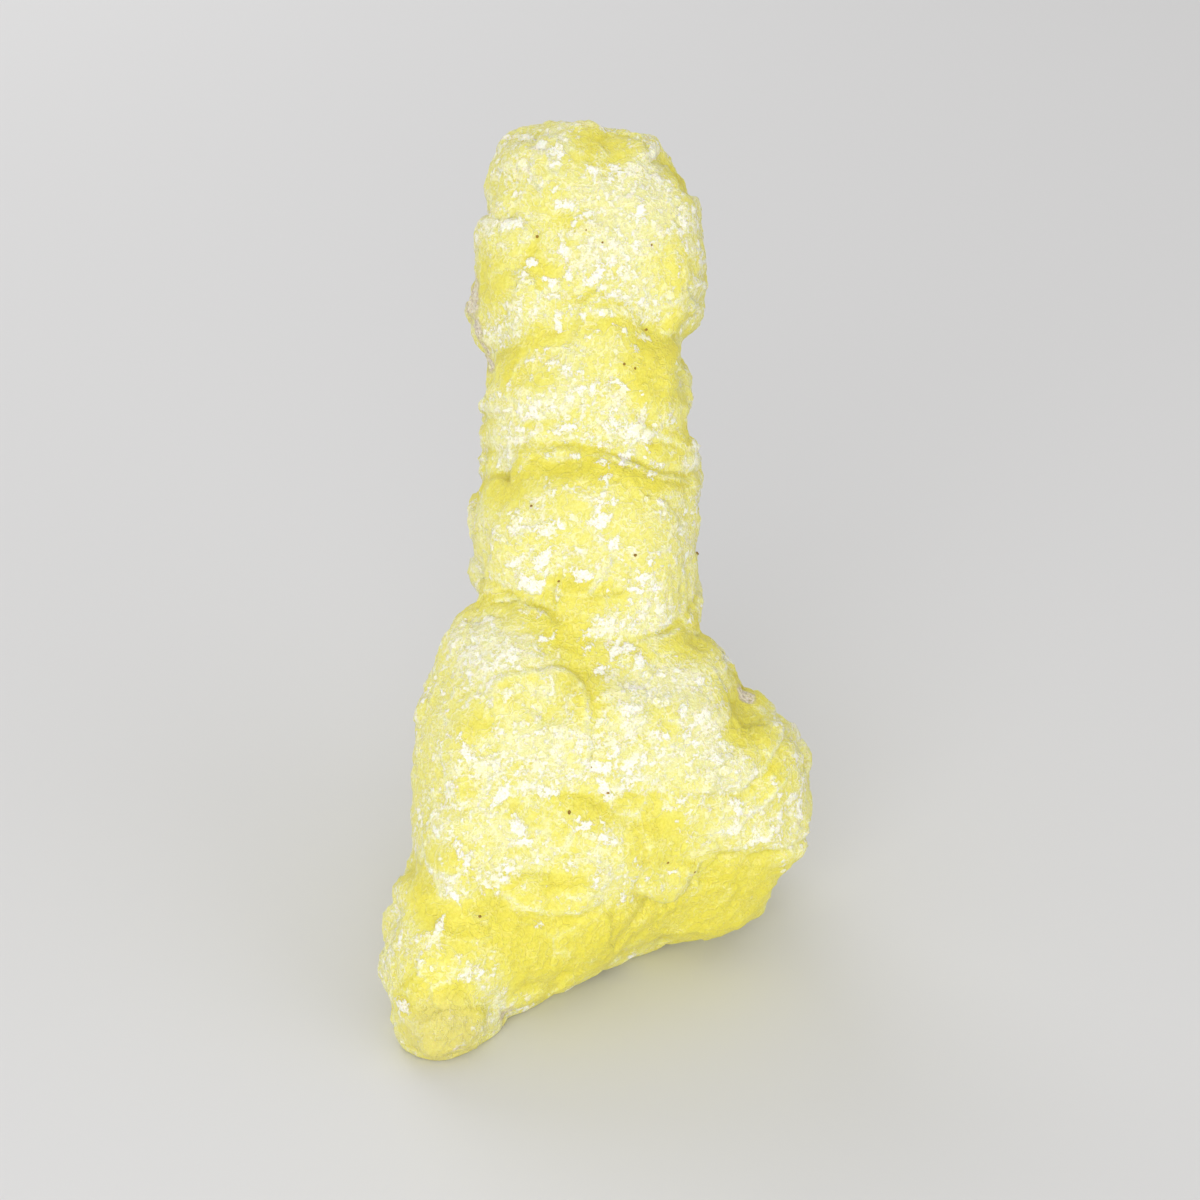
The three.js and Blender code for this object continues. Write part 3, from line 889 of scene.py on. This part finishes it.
# ---- materials ----
# noises: features to the millimetre, levels of detail, roughness
GRAIN_NOISE = (3.6, 2.5, 0.65)
MOTTLE_NOISE = (0.5, 4.0, 0.65)
SPECKLE_NOISE = (5.5, 2.0, 0.6)
PATCH_NOISE = (1.9, 4.0, 0.65)
MATRIX_EDGE_NOISE = (0.9, 5.0, 0.7)
STONE_NOISE = (3.1, 3.0, 0.6)
INCLUSION_NOISE = (6.0, 2.0, 0.5)
LINE_NOISE_DETAIL = (1.5, 0.5)
# curly lines: features to the millimetre, width, and a shift that makes one set unlike the other
FINE_LINES = (1.5, 0.06, 3.1)
BROAD_LINES = (0.8, 0.035, 7.7)
# where a fade starts and ends
LINES_IN_MOTTLE = (0.42, 0.58)
FLECK_EDGE = (-0.02, 0.26)
SMALL_FLECK_MARK = (0.635, 0.69)
SPECKLE_IN_FLECK = (0.24, 0.42)
LIGHT_IN_GRAIN = (0.25, 0.65)
LIGHT_IN_SPECKLE = (0.3, 0.6)
MATRIX_EDGE = (1.35, 1.6)
MATRIX_HALO = (0.0, 0.35)
ROUGHNESS_BY_FROST = (-1.2, 1.3)
# colours of the body by its tone, from clear deep yellow, also used as painted shade, to frosted pale, also
# used as painted light, and of what lies over it
BODY_COLOURS = [
    (0.0, (0.78, 0.70, 0.06)), (0.35, (0.80, 0.74, 0.12)), (0.7, (0.81, 0.77, 0.23)),
    (1.0, (0.82, 0.80, 0.38)),
]
STONE_COLOURS = [(0.35, (0.42, 0.33, 0.24)), (0.5, (0.74, 0.66, 0.52)), (0.65, (0.86, 0.80, 0.68))]
INCLUSION_COLOURS = [(0.3, (0.20, 0.11, 0.02)), (0.7, (0.40, 0.25, 0.05))]
LINE_COLOUR = (0.96, 0.93, 0.58, 1)
FLECK_COLOUR = (1.0, 0.98, 0.84, 1)
# painted shade of the fine relief, and dark dots: the colour that the low places of the grain are darkened
# towards
PIT_AND_SHADE_COLOUR = (0.42, 0.36, 0.06, 1)
# painted shade: the colour that the skin along the creases of the solid is darkened towards
CREASE_SHADE_COLOUR = (0.62, 0.53, 0.03, 1)
HALO_COLOUR = (0.58, 0.52, 0.23, 1)
SHEEN_COLOUR = (1.0, 0.97, 0.75, 1)
FLOOR_COLOUR = (0.70, 0.70, 0.71, 1)
DAYLIGHT = (1.0, 0.99, 0.97, 1)
BRUCITE_IOR = 1.57
FROST_AT_EDGE = 0.7  # how much more frosted a raised edge is
FLAKE_FLECK_DEPTH = 0.15  # a flake counts as lying this deep inside a fleck, in millimetres


class Finish:
    """A new material, with a short way to add each kind of node that the finishes below are made of."""

    def __init__(self, name):
        self.material = bpy.data.materials.new(name)
        self.material.use_nodes = True
        self.tree = self.material.node_tree

    def wire(self, node, inputs):
        """Sets a node's inputs to values, or links them to other nodes' outputs."""
        for name, value in inputs.items():
            if isinstance(value, bpy.types.NodeSocket):
                self.tree.links.new(value, node.inputs[name])
            else:
                node.inputs[name].default_value = value

    def shade(self, inputs):
        """Wires the shader itself."""
        self.wire(self.tree.nodes["Principled BSDF"], inputs)

    def add(self, kind, inputs, output, **settings):
        """Adds a node and returns its output of that name or number."""
        node = self.tree.nodes.new(kind)
        for name, value in settings.items():
            setattr(node, name, value)
        self.wire(node, inputs)
        return node.outputs[output]

    def calculate(self, operation, first, second=0.0, clamp=False):
        inputs = {0: first, 1: second}
        return self.add("ShaderNodeMath", inputs, 0, operation=operation, use_clamp=clamp)

    def plus(self, first, second, clamp=False):
        return self.calculate("ADD", first, second, clamp)

    def minus(self, first, second):
        return self.calculate("SUBTRACT", first, second)

    def times(self, first, second):
        return self.calculate("MULTIPLY", first, second)

    def larger(self, first, second, clamp=False):
        return self.calculate("MAXIMUM", first, second, clamp)

    def swing(self, value, amount):
        """How far a value from 0 to 1 lies from its middle, times an amount."""
        return self.times(self.minus(value, 0.5), amount)

    def scaled(self, value, slope, base):
        """The value times the slope, plus the base."""
        return self.plus(base, self.times(value, slope))

    def fade(self, value, start, end):
        """0 before start, 1 after end, and smooth in between."""
        inputs = {"Value": value, "From Min": start, "From Max": end}
        return self.add("ShaderNodeMapRange", inputs, "Result", interpolation_type="SMOOTHSTEP")

    def mix(self, share, first, second):
        """Mixes two colours: 0 is all first, and 1 is all second."""
        return self.add("ShaderNodeMix", {0: share, 6: first, 7: second}, 2, data_type="RGBA")

    def ramp(self, value, stops):
        """A colour ramp with (position, colour) stops."""
        colour = self.add("ShaderNodeValToRGB", {"Fac": value}, "Color")
        elements = colour.node.color_ramp.elements
        for element, (position, stop) in zip(elements, (stops[0], stops[-1])):
            element.position = position
            element.color = (*stop, 1)
        for position, stop in stops[1:-1]:
            elements.new(position).color = (*stop, 1)
        return colour

    def painted(self, name):
        """What paint() gave each vertex."""
        return self.add("ShaderNodeAttribute", {}, "Fac", attribute_name=name)

    def millimetres(self):
        """The place on the piece, in millimetres."""
        place = self.add("ShaderNodeTexCoord", {}, "Object")
        return self.add("ShaderNodeMapping", {"Vector": place, "Scale": (1 / MM, 1 / MM, 1 / MM)}, "Vector")

    def noise(self, place, scale, detail, roughness):
        inputs = {"Vector": place, "Scale": scale, "Detail": detail, "Roughness": roughness}
        return self.add("ShaderNodeTexNoise", inputs, "Fac")

    def curly_lines(self, place, scale, width, shift):
        """Thin curly lines where a soft noise passes its middle value."""
        inputs = {0: place, 1: (shift, -shift, 2 * shift)}
        moved = self.add("ShaderNodeVectorMath", inputs, 0, operation="ADD")
        value = self.noise(moved, scale, *LINE_NOISE_DETAIL)
        off_middle = self.calculate("ABSOLUTE", self.minus(value, 0.5))
        return self.minus(1.0, self.fade(off_middle, 0.25 * width, width))

    def bump(self, height, strength, distance):
        inputs = {"Height": height, "Strength": strength, "Distance": distance}
        return self.add("ShaderNodeBump", inputs, "Normal")


def mineral_pattern(finish, place, frost_and_shade, fleck_depth, whiteness):
    """The colour and the height of the fine pattern, from how frosted the skin is, with its painted light and
    shade, how deep it lies inside a fleck's edge in millimetres, and how white that fleck is. The low places
    of the fine relief are darkened as painted shade."""
    grain = finish.noise(place, *GRAIN_NOISE)
    mottle = finish.noise(place, *MOTTLE_NOISE)
    speckle = finish.noise(place, *SPECKLE_NOISE)
    patches = finish.noise(place, *PATCH_NOISE)

    fine_lines = finish.times(finish.curly_lines(place, *FINE_LINES), finish.fade(mottle, *LINES_IN_MOTTLE))
    lines = finish.larger(fine_lines, finish.curly_lines(place, *BROAD_LINES))

    ragged = finish.plus(finish.swing(grain, 0.8), finish.swing(patches, 1.5))
    fleck = finish.fade(finish.plus(fleck_depth, ragged), *FLECK_EDGE)
    fleck = finish.times(fleck, finish.scaled(whiteness, 0.9, 0.25))
    # more frost makes more of the patches pass the mark, so small flecks crowd together on frosted places
    crowded = finish.plus(patches, finish.swing(frost_and_shade, 0.18))
    small_flecks = finish.times(finish.fade(crowded, *SMALL_FLECK_MARK), 0.8)
    fleck = finish.larger(fleck, small_flecks, clamp=True)
    fleck = finish.times(fleck, finish.fade(speckle, *SPECKLE_IN_FLECK))

    # the tone follows the frosting with its painted light and shade, so low tones stand for painted shade as
    # well as for clear skin
    tone = finish.plus(frost_and_shade, finish.swing(grain, 0.9))
    tone = finish.plus(tone, finish.swing(mottle, 0.3), clamp=True)
    colour = finish.ramp(tone, BODY_COLOURS)
    colour = finish.mix(finish.times(lines, finish.scaled(tone, 0.75, 0.05)), colour, LINE_COLOUR)
    colour = finish.mix(fleck, colour, FLECK_COLOUR)
    # painted shade of the fine relief: the skin is darkened where the grain, which also raises the bump, is
    # low, and in dark dots where the speckle is low
    light = finish.plus(
        finish.fade(grain, *LIGHT_IN_GRAIN), finish.times(finish.fade(speckle, *LIGHT_IN_SPECKLE), 0.6)
    )
    colour = finish.mix(finish.minus(0.26, finish.times(light, 0.17)), colour, PIT_AND_SHADE_COLOUR)

    height = finish.plus(grain, finish.times(lines, 0.5))
    height = finish.plus(height, finish.times(fleck, 0.8))
    return colour, height


def add_matrix(finish, place, colour):
    """Lays the traces of the matrix over a colour: a dull halo, and ragged grains of stone in it."""
    matrix = finish.painted("matrix")
    ragged = finish.plus(matrix, finish.times(finish.noise(place, *MATRIX_EDGE_NOISE), 2.0))
    colour = finish.mix(finish.times(finish.fade(matrix, *MATRIX_HALO), 0.75), colour, HALO_COLOUR)
    stone = finish.ramp(finish.noise(place, *STONE_NOISE), STONE_COLOURS)
    return finish.mix(finish.times(finish.fade(ragged, *MATRIX_EDGE), 0.85), colour, stone)


def brucite_material():
    finish = Finish("waxy_brucite")
    place = finish.millimetres()
    # the frosting attribute, which also holds painted light and painted shade
    frost_and_shade = finish.painted("frost_and_shade")
    frosted = finish.plus(frost_and_shade, finish.times(finish.painted("edge"), FROST_AT_EDGE))
    colour, height = mineral_pattern(
        finish, place, frosted, finish.painted("fleck"), finish.painted("whiteness")
    )
    # painted shade along the creases of the solid
    colour = finish.mix(finish.times(finish.painted("crease"), 0.75), colour, CREASE_SHADE_COLOUR)
    finish.shade({
        "Base Color": add_matrix(finish, place, colour),
        "Normal": finish.bump(height, 0.8, 0.14 * MM),
        "Roughness": finish.fade(frost_and_shade, *ROUGHNESS_BY_FROST),
        "IOR": BRUCITE_IOR,
        "Sheen Weight": 0.16,
        "Sheen Roughness": 0.4,
        "Sheen Tint": SHEEN_COLOUR,
        "Subsurface Weight": 0.45,
        "Subsurface Radius": (1.0, 0.85, 0.2),
        "Subsurface Scale": 1.1 * MM,
    })
    return finish.material


def flake_material():
    finish = Finish("pearly_cleavage")
    whiteness = finish.painted("whiteness")
    # the flakes' frosting follows their whiteness alone, with no painted light or shade in it
    frost_and_shade = finish.scaled(whiteness, 0.5, 0.75)
    colour, height = mineral_pattern(finish, finish.millimetres(), frost_and_shade, FLAKE_FLECK_DEPTH, whiteness)
    finish.shade({
        "Base Color": colour,
        "Normal": finish.bump(height, 0.6, 0.08 * MM),
        "Roughness": 0.42,
        "IOR": BRUCITE_IOR,
    })
    return finish.material


def grain_material():
    finish = Finish("dark_inclusion")
    uneven = finish.noise(finish.millimetres(), *INCLUSION_NOISE)
    finish.shade({
        "Base Color": finish.ramp(uneven, INCLUSION_COLOURS),
        "Roughness": 0.85,
        "Specular IOR Level": 0.15,
    })
    return finish.material


def floor_material():
    finish = Finish("pale_floor")
    finish.shade({"Base Color": FLOOR_COLOUR, "Roughness": 0.7})
    return finish.material


# ---- the specimen and its stage ----
FLOOR_SIZE = 12.0
LAMPS = [  # name, place, size, watts
    ("key", (-0.10, -0.50, 0.16), 0.40, 1.75),
    ("fill", (0.55, -0.35, 0.25), 0.6, 0.8),
    ("back", (-0.3, 0.55, 0.45), 0.5, 1.2),
]
LAMP_AIM = 0.7  # how high the lamps aim, as a share of the height of the specimen's middle
DAYLIGHT_STRENGTH = 0.66
VIEW_DISTANCE = 0.310
VIEW_ELEVATION = math.radians(27)
VIEW_AIM_BEHIND = 0.0395  # the camera aims at the floor, this far behind the specimen
VIEW_AIM_ASIDE = 0.00027
LENS = 75.5


def finish_piece(piece, material, smooth):
    piece.data.materials.clear()
    piece.data.materials.append(material)
    select_only(piece)
    if smooth:
        bpy.ops.object.shade_smooth()
    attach(piece, "root")


def build_specimen():
    skin, creases, crease = skin_of(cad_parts["brucite_crystal"])
    raise_skin(skin, -CREASE_DEPTH * crease - SETTLE)
    press_dents(skin)
    # how strongly each vertex lies in a crease; the material darkens the skin there as painted shade
    paint(skin, "crease", crease)
    hem = add_plates(skin)
    add_domes(skin)
    paint(skin, "edge", np.maximum(draw_front_lines(skin), HEM_FROST * hem))
    # frosting, together with painted shade and painted light, for the materials
    frost_and_shade = frost_and_shade_of(skin, creases)
    paint(skin, "frost_and_shade", frost_and_shade)
    paint(skin, "matrix", matrix_of(skin))
    add_ripples(skin)
    fleck_depth, whiteness = flecks_of(skin, frost_and_shade)
    paint(skin, "fleck", fleck_depth / MM)
    paint(skin, "whiteness", whiteness)
    raise_skin(skin, FLECK_HEIGHT * smooth_step(fleck_depth, *FLECK_RISE))
    finish_piece(skin, brucite_material(), smooth=True)
    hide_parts("brucite_crystal")
    finish_piece(scatter_flakes(skin, frost_and_shade), flake_material(), smooth=False)
    finish_piece(build_dark_grains(skin), grain_material(), smooth=True)


def build_floor():
    bpy.ops.mesh.primitive_plane_add(size=FLOOR_SIZE, location=(0, 0, 0))
    floor = bpy.context.active_object
    floor.name = "floor"
    floor.data.materials.append(floor_material())
    floor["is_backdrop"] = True


def aim(thing, target):
    direction = Vector(target) - thing.location
    thing.rotation_euler = direction.to_track_quat("-Z", "Y").to_euler()


def build_lights():
    for name, place, size, watts in LAMPS:
        light = bpy.data.lights.new(name, "AREA")
        light.shape = "DISK"
        light.size = size
        light.energy = watts
        lamp = new_object(name, light)
        lamp.location = place
        aim(lamp, (0, 0, LAMP_AIM * CENTRE[2]))
    world = bpy.data.worlds.new("studio")
    world.use_nodes = True
    background = world.node_tree.nodes["Background"]
    background.inputs["Color"].default_value = DAYLIGHT
    background.inputs["Strength"].default_value = DAYLIGHT_STRENGTH
    bpy.context.scene.world = world


def build_camera():
    camera = new_object("camera", bpy.data.cameras.new("camera"))
    target = Vector((CENTRE[0] + VIEW_AIM_ASIDE, CAD_HIGH[1] + VIEW_AIM_BEHIND, 0))
    away = Vector((0, -math.cos(VIEW_ELEVATION), math.sin(VIEW_ELEVATION)))
    camera.location = target + away * VIEW_DISTANCE
    aim(camera, target)
    camera.data.lens = LENS
    bpy.context.scene.camera = camera


build_specimen()
build_floor()
build_lights()
build_camera()
bpy.context.scene.view_settings.view_transform = "Standard"
